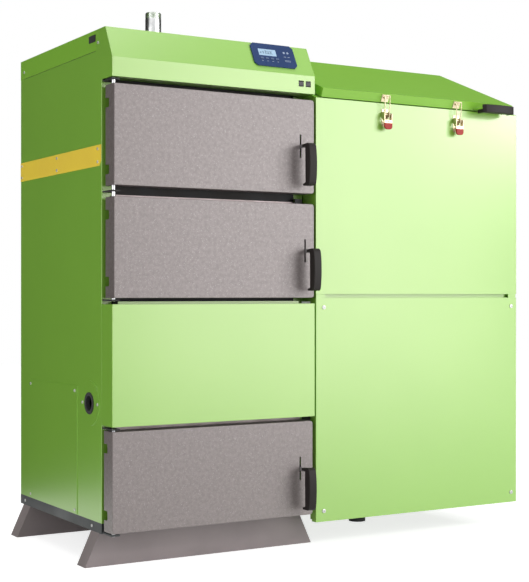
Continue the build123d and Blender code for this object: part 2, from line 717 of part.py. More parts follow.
def hopper_foot():
    """Levelling foot under the feeder: rubber-faced disc, stem and nut."""
    disc = rod_z(hopper_foot_r, 0, 12, hopper_foot_x, feeder_y)
    disc = fillet(disc.edges().group_by(Axis.Z)[-1], 4)
    nut = Pos(hopper_foot_x, feeder_y, 255) * extrude(RegularPolygon(12, 6), amount=10)
    return disc + rod_z(7, 10, 270, hopper_foot_x, feeder_y) + nut


def lid_point(along, out):
    """(y, z) of a point of the lid: along its slope from the front edge, and out from its top."""
    slope = math.radians(lid_slope)
    return (lid_front_y + along * math.cos(slope) - out * math.sin(slope),
            lid_front_z + along * math.sin(slope) + out * math.cos(slope))


def strip(start, end, half, x0, x1):
    """A flat bar along x between two (y, z) points."""
    run, rise = end[0] - start[0], end[1] - start[1]
    length = math.hypot(run, rise)
    across = (-rise / length * half, run / length * half)
    corners = [(start[0] + across[0], start[1] + across[1]), (end[0] + across[0], end[1] + across[1]),
               (end[0] - across[0], end[1] - across[1]), (start[0] - across[0], start[1] - across[1])]
    return prism_x(corners, x0, x1)


def hopper_lid():
    """Folded lid with a skirt in front and at both sides, its three hinge leaves and a handle arm."""
    outer = [lid_point(0, 0), lid_point(lid_length, 0), lid_point(lid_length, -lid_skirt),
             lid_point(0, -lid_skirt)]
    inner = [lid_point(sheet, -sheet), lid_point(lid_length - sheet, -sheet),
             lid_point(lid_length - sheet, -lid_skirt - 1), lid_point(sheet, -lid_skirt - 1)]
    lid = prism_x(outer, lid_left, lid_right)
    lid = fillet(lid.edges().filter_by(Axis.X).sort_by(Axis.Z)[-1], 0.6)
    lid -= prism_x(inner, lid_left + sheet, lid_right - sheet)
    lid -= prism_x([lid_point(lid_length + 1, -14), lid_point(lid_length - 2, -14),
                    lid_point(lid_length - 2, -lid_skirt - 1), lid_point(lid_length + 1, -lid_skirt - 1)],
                   lid_left - 1, lid_right + 1)
    for x in lid_hinge_xs:
        lid += strip(lid_point(lid_length - 0.7, -8), (lid_hinge_y - 1, lid_hinge_z + 3.4), 0.9,
                     x - 10, x + 10)
        lid += rod_x(knuckle_r, x - 10, x + 10, lid_hinge_y, lid_hinge_z)
        lid -= rod_x(lid_pin_r + running, x - 11, x + 11, lid_hinge_y, lid_hinge_z)
    return lid + lid_handle_arm()


def lid_handle_arm():
    """Flat bar from the lid's skirt into the left end of its handle."""
    left, low = lid_handle_left - 5, lid_handle_low + 11
    return block(left, left + 13, grip_back - 10, -63.5, low, low + arm_width)


def lid_handle():
    """The same moulded grip as on the doors, lying along the lid's front edge from its arm to the right."""
    grip = Pos(lid_handle_left, 0, lid_handle_low) * Rot(0, -90, 0) * grip_body(grip_length)
    return grip - lid_handle_arm()


def latch_xs():
    return hopper_x - latch_offset, hopper_x + latch_offset


def lid_keepers():
    """Two keeper plates on the lid's skirt, each with a curled tongue for the bail."""
    slope = math.radians(lid_slope)
    plate = [lid_point(0, -3), lid_point(-1.5, -3), lid_point(-1.5, -24), lid_point(0, -24)]
    tongue = [lid_point(-1.4, -14), lid_point(-6.5, -14), lid_point(-6.5, -10), lid_point(-5, -10),
              lid_point(-5, -12.5), lid_point(-1.4, -12.5)]
    y, z = lid_point(-1.4, -7)
    made = []
    for x in latch_xs():
        keeper = prism_x(plate, x - 12, x + 12) + prism_x(tongue, x - 6, x + 6)
        for side in (-9, 9):
            keeper += Plane((x + side, y, z), z_dir=(0, -math.cos(slope), -math.sin(slope))) * Cylinder(2, 2)
        made.append(keeper)
    return group(made)


def latch_bases():
    """Two base plates on the hopper's front, each with a pair of round ears for the lever's pin."""
    ear_r = 6.8
    made = []
    for x in latch_xs():
        base = block(x - 11, x + 11, -reach - 1.5, -reach, latch_pivot_z - 34, latch_pivot_z + 16)
        for ear_left in (x - 11, x + 9.5):
            base += block(ear_left, ear_left + 1.5, latch_pivot_y, -reach,
                          latch_pivot_z - ear_r, latch_pivot_z + ear_r)
            base += rod_x(ear_r, ear_left, ear_left + 1.5, latch_pivot_y, latch_pivot_z)
        base -= rod_x(latch_pin_r + running, x - 12, x + 12, latch_pivot_y, latch_pivot_z)
        for z in (latch_pivot_z - 26, latch_pivot_z + 12):
            base += rod_y(2.6, -reach - 2.8, -reach - 1, x, z)
        made.append(base)
    return group(made)


def latch_lever(x):
    """Two side plates round the base's ears, joined below the bail by a web with a rounded finger end."""
    half = latch_width / 2
    front, back = latch_pivot_y - 11.5, latch_pivot_y - 10
    low = latch_pivot_z - 44
    web = block(x - half, x + half, front, back, low, bail_pivot_z - 4)
    web = fillet(web.edges().filter_by(Axis.Y).group_by(Axis.Z)[0], 9)
    web -= rod_y(2.5, front - 1, back + 1, x, bail_pivot_z - 8.5)
    tip = block(x - half, x + half, front - 1.2, back + 1.2, low, low + 18)
    tip = fillet(tip.edges().filter_by(Axis.Y).group_by(Axis.Z)[0], 9)
    lever = web + fillet(tip.faces().sort_by(Axis.Y)[0].edges(), 1)
    for left in (x - half, x + half - 1.4):
        flange = prism_x([(front + 0.5, latch_pivot_z + 2), (latch_pivot_y + 4, latch_pivot_z + 4),
                          (latch_pivot_y + 4, latch_pivot_z - 6), (bail_pivot_y + 3, bail_pivot_z - 4),
                          (front + 0.5, bail_pivot_z - 10)], left, left + 1.4)
        flange -= rod_x(wire_r + running, left - 1, left + 3, bail_pivot_y, bail_pivot_z)
        lever += flange
    return lever + rod_x(latch_pin_r, x - half, x + half, latch_pivot_y, latch_pivot_z)


def latch_bail(x):
    """Wire loop: out-turned ends in the lever, two legs that spread a little, and the top bar."""
    def at(across, t):
        y = bail_pivot_y + (bail_top_y - bail_pivot_y) * t
        return (x + across, y, bail_pivot_z + (bail_top_z - bail_pivot_z) * t)

    route = [at(13.4, 0), at(7.4, 0), at(9, 1), at(-9, 1), at(-7.4, 0), at(-13.4, 0)]
    path = FilletPolyline(*route, radius=[2, 3, 3, 2])
    start = Plane(path @ 0, z_dir=path % 0) * Circle(wire_r)
    return sweep(start, path=path.wire())


def panel_plane(out=0.0):
    return slope_plane((panel_left + panel_right) / 2, (panel_low + panel_high) / 2, out)


def controller_bezel():
    """Blue control panel with cut corners, a pocket for the display and four key holes."""
    half_wide, half_tall, cut = (panel_right - panel_left) / 2, (panel_high - panel_low) / 2, 9.0
    corners = [(-half_wide + cut, -half_tall), (half_wide - cut, -half_tall), (half_wide, -half_tall + cut),
               (half_wide, half_tall - cut), (half_wide - cut, half_tall), (-half_wide + cut, half_tall),
               (-half_wide, half_tall - cut), (-half_wide, -half_tall + cut)]
    bezel = extrude(panel_plane() * make_face(Polyline(*corners, close=True)), amount=panel_thick)
    wide, tall = display_size
    pocket = Pos(*display_at) * Rectangle(wide + 0.4, tall + 0.4)
    bezel -= extrude(panel_plane(panel_thick - 1.6) * pocket, amount=3)
    for x in key_xs:
        hole = Pos(x, key_up) * RectangleRounded(key_wide + 0.7, key_tall + 0.7, 1.3)
        bezel -= extrude(panel_plane(-1) * hole, amount=panel_thick + 2)
    return bezel


def display_window():
    wide, tall = display_size
    return extrude(panel_plane(panel_thick - 1.6) * (Pos(*display_at) * Rectangle(wide, tall)), amount=1.2)


def panel_key(x):
    """A key cap with the flange that keeps it behind the panel."""
    outline = Pos(x, key_up) * RectangleRounded(key_wide, key_tall, 1)
    cap = extrude(panel_plane(-0.4) * outline, amount=panel_thick + key_travel + 0.4)
    flange = Pos(x, key_up) * Rectangle(key_wide + 3, key_tall + 3)
    return cap + extrude(panel_plane(-1.4) * flange, amount=1.1)


pieces = {
    "feet": feet(),
    "base_frame": base_frame(),
    "boiler_vessel": boiler_vessel(),
    "front_plate": front_plate(),
    "hinge_pins": hinge_pins(),
    "left_side_sheet": side_sheet(False),
    "right_side_sheet": side_sheet(True),
    "rear_panel": rear_panel(),
    "top_cover": top_cover(),
    "control_cowl": control_cowl(),
    "front_cover": front_cover(),
    "access_panel": access_panel(),
    "port_cover": port_cover(),
    "cable_grommets": cable_grommets(),
    "trim_strip": trim_strip(),
    "casing_screws": casing_screws(),
    "water_pipes": water_pipes(),
    "flue_spigot": flue_spigot(),
    "burner_retort": burner_retort(),
    "combustion_fan": combustion_fan(),
    "feeder_tube": feeder_tube(),
    "auger": auger(),
    "gearmotor": gearmotor(),
    "ash_drawer": ash_drawer(),
    "hopper_casing": hopper_casing(),
    "hopper_funnel": hopper_funnel(),
    "hopper_front_panel": hopper_front_panel(),
    "hopper_side_panel": hopper_side_panel(),
    "hopper_foot": hopper_foot(),
    "hopper_lid": hopper_lid(),
    "lid_handle": lid_handle(),
    "lid_keepers": lid_keepers(),
    "latch_bases": latch_bases(),
    "controller_bezel": controller_bezel(),
    "display_window": display_window(),
}
for label, door in zip(("upper", "middle", "lower"), (upper_door, middle_door, lower_door)):
    pieces[f"{label}_door_shell"] = door_shell(door)
    pieces[f"{label}_door_liner"] = door_liner(door)
    pieces[f"{label}_door_seal"] = door_seal(door)
    pieces[f"{label}_handle_lever"] = handle_lever(door)
    pieces[f"{label}_handle_grip"] = handle_grip(door)
for label, x in zip(("left", "right"), latch_xs()):
    pieces[f"{label}_latch_lever"] = latch_lever(x)
    pieces[f"{label}_latch_bail"] = latch_bail(x)
for label, x in zip(("left", "right"), switch_xs):
    pieces[f"{label}_rocker"] = rocker(x)
for number, x in enumerate(key_xs, 1):
    pieces[f"panel_key_{number}"] = panel_key(x)

os.makedirs("parts", exist_ok=True)
for name, piece in pieces.items():
    save(name, piece)
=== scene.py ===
"""Looks of a free-standing pellet boiler with a side hopper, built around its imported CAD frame.

Everything is in metres, in the frame's own axes: +X towards the hopper, -Y out of the doors, +Z up.
"""

import json
import math

import bmesh
import bpy
from mathutils import Matrix, Vector


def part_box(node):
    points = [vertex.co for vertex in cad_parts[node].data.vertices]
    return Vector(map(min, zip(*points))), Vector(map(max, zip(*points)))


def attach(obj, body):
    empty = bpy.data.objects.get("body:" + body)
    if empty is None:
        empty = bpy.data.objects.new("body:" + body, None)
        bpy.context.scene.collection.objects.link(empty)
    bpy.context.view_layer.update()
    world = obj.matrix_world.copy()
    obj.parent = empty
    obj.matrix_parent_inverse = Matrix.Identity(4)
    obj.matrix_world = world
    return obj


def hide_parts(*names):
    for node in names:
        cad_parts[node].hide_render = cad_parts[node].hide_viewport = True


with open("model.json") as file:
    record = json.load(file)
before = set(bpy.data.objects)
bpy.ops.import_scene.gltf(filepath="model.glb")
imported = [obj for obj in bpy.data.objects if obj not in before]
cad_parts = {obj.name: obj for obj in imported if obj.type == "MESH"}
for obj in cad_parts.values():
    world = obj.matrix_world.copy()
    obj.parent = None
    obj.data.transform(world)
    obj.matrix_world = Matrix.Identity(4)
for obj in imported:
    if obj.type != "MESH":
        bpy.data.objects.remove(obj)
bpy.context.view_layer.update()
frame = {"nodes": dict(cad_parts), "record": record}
nodes = frame["nodes"]

# Camera: an eye 710 mm above the floor, turned to the object's left front
EYE = (-2.0339, -3.4148, 0.7097)
TURN = -30.8
LENS = 81.1
SHIFT_UP = 0.005

# Colours, linear
GREEN = (0.235, 0.51, 0.05)
GREEN_SHADE = (0.222, 0.49, 0.046)
SHEEN = (1.0, 0.88, 0.82)
DOOR_SHEEN = (1.0, 0.92, 0.91)
DOOR_GREY = (0.12, 0.098, 0.096)
DOOR_MOTTLE = (0.158, 0.132, 0.129)
DOOR_FLECK = (0.27, 0.25, 0.25)
BLACK = (0.016, 0.016, 0.017)
LATCH_ZINC = (0.5, 0.42, 0.27)
LATCH_ZINC_PALE = (0.66, 0.57, 0.4)

# Water pipes and their threads
PIPE_RADIUS = 0.0239
PIPE_BORE = 0.0209
THREAD_LONG = 0.018
THREAD_PITCH = 0.0023
THREAD_CUT = 0.0014
LEAD_CUT = 0.0012
LEAD_LONG = 0.003

# Red plastic on a latch lever, above the lever's lower end
DIP_TALL = 0.018

# Grips: front to back, and the part of the node's length that is the steel arm's
GRIP_DEEP = 0.025
GRIP_ARM = 0.006

# Control slope: its upward and outward directions
SLOPE_RISE = 84
SLOPE_RUN = 44
SLOPE = math.atan2(SLOPE_RISE, SLOPE_RUN)
SLOPE_UP = Vector((0, math.cos(SLOPE), math.sin(SLOPE)))
SLOPE_OUT = Vector((0, -math.sin(SLOPE), math.cos(SLOPE)))


# Materials

def new_material(name):
    made = bpy.data.materials.new(name)
    made.use_nodes = True
    tree = made.node_tree
    return made, tree, tree.nodes["Principled BSDF"]


def place(tree, scale, stretch=(1, 1, 1)):
    """Object coordinates scaled to a number of features per metre."""
    coords = tree.nodes.new("ShaderNodeTexCoord")
    mapping = tree.nodes.new("ShaderNodeMapping")
    mapping.inputs["Scale"].default_value = [scale * s for s in stretch]
    tree.links.new(coords.outputs["Object"], mapping.inputs["Vector"])
    return mapping.outputs["Vector"]


def noise(tree, scale, detail=3.0):
    texture = tree.nodes.new("ShaderNodeTexNoise")
    texture.inputs["Scale"].default_value = 1
    texture.inputs["Detail"].default_value = detail
    tree.links.new(place(tree, scale), texture.inputs["Vector"])
    return texture.outputs["Fac"]


def ramp(tree, value, low, high, start=0.0, end=1.0):
    node = tree.nodes.new("ShaderNodeMapRange")
    node.inputs["From Min"].default_value = low
    node.inputs["From Max"].default_value = high
    node.inputs["To Min"].default_value = start
    node.inputs["To Max"].default_value = end
    tree.links.new(value, node.inputs["Value"])
    return node.outputs["Result"]


def calculate(tree, operation, first, second):
    """Result of one maths node, whose values are each a number or another node's output."""
    node = tree.nodes.new("ShaderNodeMath")
    node.operation = operation
    for value, socket in zip((first, second), node.inputs):
        if isinstance(value, float):
            socket.default_value = value
        else:
            tree.links.new(value, socket)
    return node.outputs["Value"]


def mix(tree, factor, first, second):
    """Colour between two, each a colour or another node's output."""
    node = tree.nodes.new("ShaderNodeMix")
    node.data_type = "RGBA"
    tree.links.new(factor, node.inputs["Factor"])
    colours = [socket for socket in node.inputs if socket.type == "RGBA"]
    for value, socket in zip((first, second), colours):
        if isinstance(value, tuple):
            socket.default_value = (*value, 1)
        else:
            tree.links.new(value, socket)
    return next(socket for socket in node.outputs if socket.type == "RGBA")


def relief(tree, shader, height, strength, distance, edge=0.0008):
    """Bump from a height, over edges that the light sees rounded."""
    bevel = tree.nodes.new("ShaderNodeBevel")
    bevel.samples = 4
    bevel.inputs["Radius"].default_value = edge
    bump = tree.nodes.new("ShaderNodeBump")
    bump.inputs["Strength"].default_value = strength
    bump.inputs["Distance"].default_value = distance
    tree.links.new(bevel.outputs["Normal"], bump.inputs["Normal"])
    tree.links.new(height, bump.inputs["Height"])
    tree.links.new(bump.outputs["Normal"], shader.inputs["Normal"])


def surface(name, color, second, roughness=0.5, spread=0.06, metallic=0.0, patch=7, grain=900,
            strength=0.15, distance=0.0002, specular=0.5, edge=0.0008):
    """A finish with slow patches of colour and roughness, and a fine grain in its relief."""
    made, tree, shader = new_material(name)
    patches = noise(tree, patch, 4)
    tree.links.new(mix(tree, ramp(tree, patches, 0.35, 0.65), color, second), shader.inputs["Base Color"])
    rough = ramp(tree, patches, 0.3, 0.7, roughness - spread, roughness + spread)
    tree.links.new(rough, shader.inputs["Roughness"])
    shader.inputs["Metallic"].default_value = metallic
    shader.inputs["Specular IOR Level"].default_value = specular
    relief(tree, shader, noise(tree, grain, 2), strength, distance, edge)
    return made


def green_paint(name, specular, coat):
    """Semi-gloss green paint, whose sheen under a large light is a little warm."""
    made = surface(name, GREEN, GREEN_SHADE, 0.32, 0.02, patch=2.5, grain=1100, strength=0.06,
                   specular=specular)
    shader = made.node_tree.nodes["Principled BSDF"]
    shader.inputs["Specular Tint"].default_value = (*SHEEN, 1)
    shader.inputs["Coat Weight"].default_value = coat
    shader.inputs["Coat Roughness"].default_value = 0.32
    shader.inputs["Coat IOR"].default_value = 1.6
    return made


def hammered_paint():
    """Grey hammered paint: shallow dimples, soft mottling and small pale flecks."""
    dimples, mottles, specks = 210, 110, 420
    made, tree, shader = new_material("hammered_grey")
    cells = tree.nodes.new("ShaderNodeTexVoronoi")
    cells.feature = "SMOOTH_F1"
    cells.inputs["Scale"].default_value = 1
    tree.links.new(place(tree, dimples), cells.inputs["Vector"])
    mottle = ramp(tree, noise(tree, mottles, 5), 0.35, 0.65)
    tone = mix(tree, mottle, DOOR_GREY, DOOR_MOTTLE)
    flecks = ramp(tree, noise(tree, specks, 2), 0.62, 0.72)
    tree.links.new(mix(tree, flecks, tone, DOOR_FLECK), shader.inputs["Base Color"])
    tree.links.new(ramp(tree, mottle, 0, 1, 0.5, 0.42), shader.inputs["Roughness"])
    shader.inputs["Specular IOR Level"].default_value = 1.0
    shader.inputs["Specular Tint"].default_value = (*DOOR_SHEEN, 1)
    shader.inputs["Coat Weight"].default_value = 0.5
    shader.inputs["Coat Roughness"].default_value = 0.4
    relief(tree, shader, cells.outputs["Distance"], 0.22, 0.0005, 0.0012)
    return made


def galvanised(name):
    """Zinc spangle: flat crystals of slightly different brightness."""
    crystals = 160
    made, tree, shader = new_material(name)
    cells = tree.nodes.new("ShaderNodeTexVoronoi")
    cells.inputs["Scale"].default_value = 1
    tree.links.new(place(tree, crystals), cells.inputs["Vector"])
    tone = mix(tree, ramp(tree, cells.outputs["Color"], 0, 1), (0.62, 0.63, 0.64), (0.8, 0.8, 0.8))
    tree.links.new(tone, shader.inputs["Base Color"])
    tree.links.new(ramp(tree, noise(tree, 60), 0.3, 0.7, 0.24, 0.36), shader.inputs["Roughness"])
    shader.inputs["Metallic"].default_value = 1
    relief(tree, shader, noise(tree, 500, 2), 0.06, 0.0001)
    return made


def braid(name):
    """Braided rope: two crossing sets of strands, its colour darker where the strands sink, as painted
    shade in the grooves between them.
    """
    bands = 90
    made, tree, shader = new_material(name)
    heights = []
    for turn in (1, -1):
        wave = tree.nodes.new("ShaderNodeTexWave")
        wave.bands_direction = "DIAGONAL"
        wave.inputs["Scale"].default_value = 1
        wave.inputs["Distortion"].default_value = 1
        tree.links.new(place(tree, bands, (1, 1, turn)), wave.inputs["Vector"])
        heights.append(wave.outputs["Fac"])
    strands = calculate(tree, "MULTIPLY", heights[0], heights[1])
    # Darker where the strand height is low: painted shade in the grooves
    tone = mix(tree, strands, (0.3, 0.28, 0.24), (0.62, 0.6, 0.54))
    tree.links.new(tone, shader.inputs["Base Color"])
    shader.inputs["Roughness"].default_value = 0.95
    relief(tree, shader, strands, 0.8, 0.0008)
    return made


def dipped_steel(limit):
    """Zinc-plated steel whose end below a height is dipped in red plastic."""
    half_edge = 0.0003
    made, tree, shader = new_material("latch_lever_dipped")
    coords = tree.nodes.new("ShaderNodeTexCoord")
    split = tree.nodes.new("ShaderNodeSeparateXYZ")
    tree.links.new(coords.outputs["Object"], split.inputs["Vector"])
    steel = ramp(tree, split.outputs["Z"], limit - half_edge, limit + half_edge)
    zinc = mix(tree, noise(tree, 40), LATCH_ZINC, LATCH_ZINC_PALE)
    tree.links.new(mix(tree, steel, (0.36, 0.012, 0.006), zinc), shader.inputs["Base Color"])
    shader.inputs["Specular IOR Level"].default_value = 0.2
    tree.links.new(steel, shader.inputs["Metallic"])
    tree.links.new(ramp(tree, noise(tree, 90), 0.3, 0.7, 0.28, 0.42), shader.inputs["Roughness"])
    relief(tree, shader, noise(tree, 700, 2), 0.06, 0.0001, 0.0005)
    return made


def clear_window():
    """Window over a pale blue display that glows a little."""
    made, tree, shader = new_material("display_window")
    tone = mix(tree, noise(tree, 25), (0.30, 0.44, 0.58), (0.36, 0.5, 0.64))
    tree.links.new(tone, shader.inputs["Base Color"])
    shader.inputs["Roughness"].default_value = 0.12
    shader.inputs["Emission Color"].default_value = (0.4, 0.6, 0.8, 1)
    shader.inputs["Emission Strength"].default_value = 0.15
    return made


def worn_steel(name, low, high, roughness):
    """Bare or plated steel, duller in patches."""
    return surface(name, low, high, roughness, 0.1, 1.0, patch=30, grain=300, strength=0.12,
                   distance=0.0001)


lever_tip_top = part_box("left_latch_lever")[0].z + DIP_TALL
looks = {
    "green_paint": green_paint("green_paint", 1.0, 0.7),
    "foot_paint": surface("foot_paint", (0.29, 0.245, 0.245), (0.25, 0.212, 0.212), 0.45, strength=0.1),
    "rail_paint": surface("rail_paint", (0.042, 0.047, 0.05), (0.03, 0.034, 0.036), 0.45),
    "vessel_paint": surface("vessel_paint", (0.018, 0.018, 0.02), (0.035, 0.032, 0.03), 0.7, 0.1, patch=12,
                            strength=0.3, grain=500),
    "door_paint": hammered_paint(),
    "zinc_steel": worn_steel("zinc_steel", (0.55, 0.56, 0.58), (0.72, 0.72, 0.72), 0.35),
    "black_rubber": surface("black_rubber", (0.02, 0.02, 0.021), (0.03, 0.03, 0.03), 0.75, grain=700),
    "yellow_strip": surface("yellow_strip", (1.0, 0.74, 0.07), (0.95, 0.69, 0.07), 0.35, strength=0.04),
    "screw_steel": surface("screw_steel", (0.55, 0.55, 0.54), (0.7, 0.7, 0.68), 0.35, 0.06, 0.45, patch=30,
                           grain=300, strength=0.1, distance=0.0001),
    "galvanised_pipe": galvanised("galvanised_pipe"),
    "flue_steel": worn_steel("flue_steel", (0.2, 0.2, 0.21), (0.32, 0.31, 0.3), 0.5),
    "cast_iron": surface("cast_iron", (0.06, 0.055, 0.05), (0.09, 0.075, 0.062), 0.75, 0.1, 0.3, patch=14,
                         grain=420, strength=0.7, distance=0.0006),
    "fan_paint": surface("fan_paint", (0.4, 0.41, 0.42), (0.34, 0.35, 0.36), 0.5),
    "feeder_paint": surface("feeder_paint", (0.03, 0.03, 0.032), (0.045, 0.044, 0.043), 0.5, strength=0.2),
    "auger_steel": worn_steel("auger_steel", (0.3, 0.29, 0.28), (0.48, 0.47, 0.45), 0.42),
    "motor_paint": surface("motor_paint", (0.05, 0.09, 0.16), (0.06, 0.11, 0.2), 0.4, strength=0.2),
    "drawer_steel": worn_steel("drawer_steel", (0.2, 0.19, 0.18), (0.33, 0.31, 0.29), 0.55),
    "foot_rubber": surface("foot_rubber", (0.02, 0.02, 0.021), (0.03, 0.03, 0.03), 0.7),
    "grip_plastic": surface("grip_plastic", (0.016, 0.013, 0.012), (0.021, 0.017, 0.016), 0.5, 0.05,
                            grain=1500, strength=0.25, specular=0.17, edge=0.0015),
    "latch_steel": worn_steel("latch_steel", LATCH_ZINC, LATCH_ZINC_PALE, 0.4),
    "panel_blue": surface("panel_blue", (0.008, 0.033, 0.12), (0.012, 0.04, 0.14), 0.3, strength=0.1,
                          specular=0.3),
    "display_glass": clear_window(),
    "liner_steel": worn_steel("liner_steel", (0.4, 0.34, 0.34), (0.5, 0.43, 0.425), 0.6),
    "rope_seal": braid("rope_seal"),
    "lever_steel": worn_steel("lever_steel", (0.3, 0.3, 0.31), (0.45, 0.45, 0.45), 0.4),
    "rocker_plastic": surface("rocker_plastic", BLACK, (0.022, 0.021, 0.021), 0.35, strength=0.1),
    "key_plastic": surface("key_plastic", (0.05, 0.085, 0.18), (0.06, 0.1, 0.2), 0.45, strength=0.1),
}
dipped = dipped_steel(lever_tip_top)
upper_green = green_paint("green_paint_upper", 0.4, 0.1)
pale_mark = surface("pale_mark", (0.3, 0.37, 0.5), (0.34, 0.41, 0.54), 0.5, strength=0.05)
dark_mark = surface("dark_mark", (0.17, 0.26, 0.36), (0.2, 0.3, 0.4), 0.5, strength=0.05)

slots = {entry["node"]: entry["material_slot"] for entry in frame["record"]["subparts"]}
for node, piece in nodes.items():
    piece.data.materials.clear()
    piece.data.materials.append(looks[slots[node]])
for node in ("left_latch_lever", "right_latch_lever"):
    nodes[node].data.materials[0] = dipped
for node in ("top_cover", "hopper_lid"):
    nodes[node].data.materials[0] = upper_green


# Detail pieces

def mesh_piece(name, points, faces, look, body, smooth=True, bevel=0.0):
    mesh = bpy.data.meshes.new(name)
    mesh.from_pydata([tuple(p) for p in points], [], faces)
    if smooth:
        mesh.shade_smooth()
    piece = bpy.data.objects.new(name, mesh)
    bpy.context.scene.collection.objects.link(piece)
    mesh.materials.append(look)
    if bevel:
        rounding = piece.modifiers.new("rounding", "BEVEL")
        rounding.width = bevel
        rounding.segments = 2
    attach(piece, body)
    return piece


def ring_faces(rings, around):
    """Quads between rings of points, and from the last ring back to the first."""
    faces = []
    for ring in range(rings):
        first = ring * around
        second = (ring + 1) % rings * around
        for k in range(around):
            nxt = (k + 1) % around
            faces.append((first + k, first + nxt, second + nxt, second + k))
    return faces


def threaded_pipe(name, place_in_frame, length):
    """A pipe along its own +Z with a cut thread and a lead at its far end; a closed tube of rings."""
    around = 96
    rings_per_pitch = 10
    run_in = 0.001
    outline = [(0.0, 0.0), (length - THREAD_LONG - run_in, 0.0)]
    rings = round(THREAD_LONG / THREAD_PITCH * rings_per_pitch)
    outline += [(length - THREAD_LONG + THREAD_LONG * k / rings, 1.0) for k in range(rings + 1)]
    points = []
    for height, cutting in outline:
        for k in range(around):
            turn = k / around
            phase = (height / THREAD_PITCH - turn) % 1
            depth = THREAD_CUT * cutting * abs(2 * phase - 1)
            lead = LEAD_CUT * cutting * max(0.0, (height - length + LEAD_LONG) / LEAD_LONG)
            r = PIPE_RADIUS - depth - lead
            points.append((r * math.cos(2 * math.pi * turn), r * math.sin(2 * math.pi * turn), height))
    for height in (length, 0.0):
        for k in range(around):
            turn = 2 * math.pi * k / around
            points.append((PIPE_BORE * math.cos(turn), PIPE_BORE * math.sin(turn), height))
    points = [place_in_frame @ Vector(p) for p in points]
    faces = ring_faces(len(outline) + 2, around)
    return mesh_piece(name, points, faces, looks["galvanised_pipe"], "boiler")


def water_pipes():
    """Flow stub on top and return stub at the rear, with their threads."""
    low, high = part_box("water_pipes")
    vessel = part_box("boiler_vessel")[1]
    flow_base = Vector((low.x + PIPE_RADIUS, low.y + PIPE_RADIUS, vessel.z))
    back_base = Vector((high.x - PIPE_RADIUS, vessel.y, low.z + PIPE_RADIUS))
    laid_back = Matrix.Rotation(-math.pi / 2, 4, "X")
    flow = threaded_pipe("flow_pipe", Matrix.Translation(flow_base), high.z - flow_base.z)
    back = threaded_pipe("return_pipe", Matrix.Translation(back_base) @ laid_back, high.y - back_base.y)
    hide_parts("water_pipes")
    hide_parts("water_pipes")


def islands(node):
    """Lowest and highest corner of each separate solid in a node's mesh."""
    work = bmesh.new()
    work.from_mesh(nodes[node].data)
    bmesh.ops.remove_doubles(work, verts=work.verts, dist=1e-5)
    left = set(work.verts)
    found = []
    while left:
        heap = [left.pop()]
        group = []
        while heap:
            vert = heap.pop()
            group.append(vert.co.copy())
            for edge in vert.link_edges:
                other = edge.other_vert(vert)
                if other in left:
                    left.remove(other)
                    heap.append(other)
        found.append((Vector([min(c[k] for c in group) for k in range(3)]),
                      Vector([max(c[k] for c in group) for k in range(3)])))
    work.free()
    found.sort(key=lambda pair: tuple(round(v, 4) for v in pair[0]))
    return found


def screw_head(radius, tall, spin):
    """Points and faces of a pan head with a cross recess, standing on z = 0."""
    around, rings = 48, 14
    arm = 0.55 * radius
    slot_half = 0.13 * radius
    points = []
    faces = []
    for ring in range(rings + 1):
        share = ring / rings
        for k in range(around):
            turn = 2 * math.pi * k / around + spin
            r = radius * share
            dome = tall * (1 - 0.25 * share ** 2) if ring < rings else 0.0
            x, y = r * math.cos(turn - spin), r * math.sin(turn - spin)
            inside = (abs(x) < slot_half and abs(y) < arm) or (abs(y) < slot_half and abs(x) < arm)
            dip = 0.55 * tall if inside else 0.0
            points.append((r * math.cos(turn), r * math.sin(turn), dome - dip))
    for ring in range(rings):
        for k in range(around):
            nxt = (k + 1) % around
            a, b = ring * around, (ring + 1) * around
            faces.append((a + k, b + k, b + nxt, a + nxt))
    faces.append([rings * around + k for k in reversed(range(around))])
    return points, faces


def screws():
    """Every casing screw, each with a cross recess turned its own way, as one piece."""
    turn_between = 0.73
    low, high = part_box("top_cover")
    casing_middle = (low + high) / 2
    points, faces = [], []
    for number, (corner, far) in enumerate(islands("casing_screws")):
        size = far - corner
        axis = min(range(3), key=lambda k: size[k])
        centre = (corner + far) / 2
        outward = math.copysign(1, centre[axis] - casing_middle[axis])
        direction = Vector([outward if k == axis else 0 for k in range(3)])
        base = centre - direction * size[axis] / 2
        turned = direction.to_track_quat("Z", "Y").to_matrix().to_4x4()
        spin = (number * turn_between) % (math.pi / 2)
        head, sides = screw_head(max(size) / 2, size[axis], spin)
        start = len(points)
        points += [Matrix.Translation(base) @ turned @ Vector(p) for p in head]
        faces += [[start + v for v in side] for side in sides]
    piece = mesh_piece("casing_screw_heads", points, faces, looks["screw_steel"], "boiler",
                       smooth=False)
    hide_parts("casing_screws")


def arc(centre, radius, start, end, steps=8):
    """Points of an arc, in degrees."""
    turns = [math.radians(start + (end - start) * k / steps) for k in range(steps + 1)]
    return [(centre[0] + radius * math.cos(t), centre[1] + radius * math.sin(t)) for t in turns]


def grip_outline(front, length):
    """(y, z) outline of a hanging grip: rounded shoulder, bowed front, hooked toe, flat back."""
    bow, steps = 0.0035, 12
    back = front + GRIP_DEEP
    outline = arc((front + 0.017, -0.008), 0.013, 90, 160)
    for k in range(1, steps):
        share = k / steps
        y = front + bow * (2 * share - 1) ** 2
        outline.append((y, -0.008 - (length - 0.018) * share))
    outline += arc((front + 0.014, -length + 0.01), 0.01, 190, 270)
    outline += arc((back + 0.009, -length + 0.0035), 0.0035, -90, 90)
    outline += arc((back + 0.004, -length + 0.012), 0.004, 260, 180, 5)
    outline += arc((back - 0.003, -0.007), 0.004, 0, 20, 2)
    return outline


def extruded(outline, near, far, points, faces):
    """Adds an outline of (y, z) points drawn out along x."""
    start, count = len(points), len(outline)
    points += [(x, y, z) for x in (near, far) for y, z in outline]
    faces.append([start + k for k in range(count)])
    faces.append([start + count + k for k in reversed(range(count))])
    for k in range(count):
        nxt = (k + 1) % count
        faces.append((start + nxt, start + k, start + count + k, start + count + nxt))


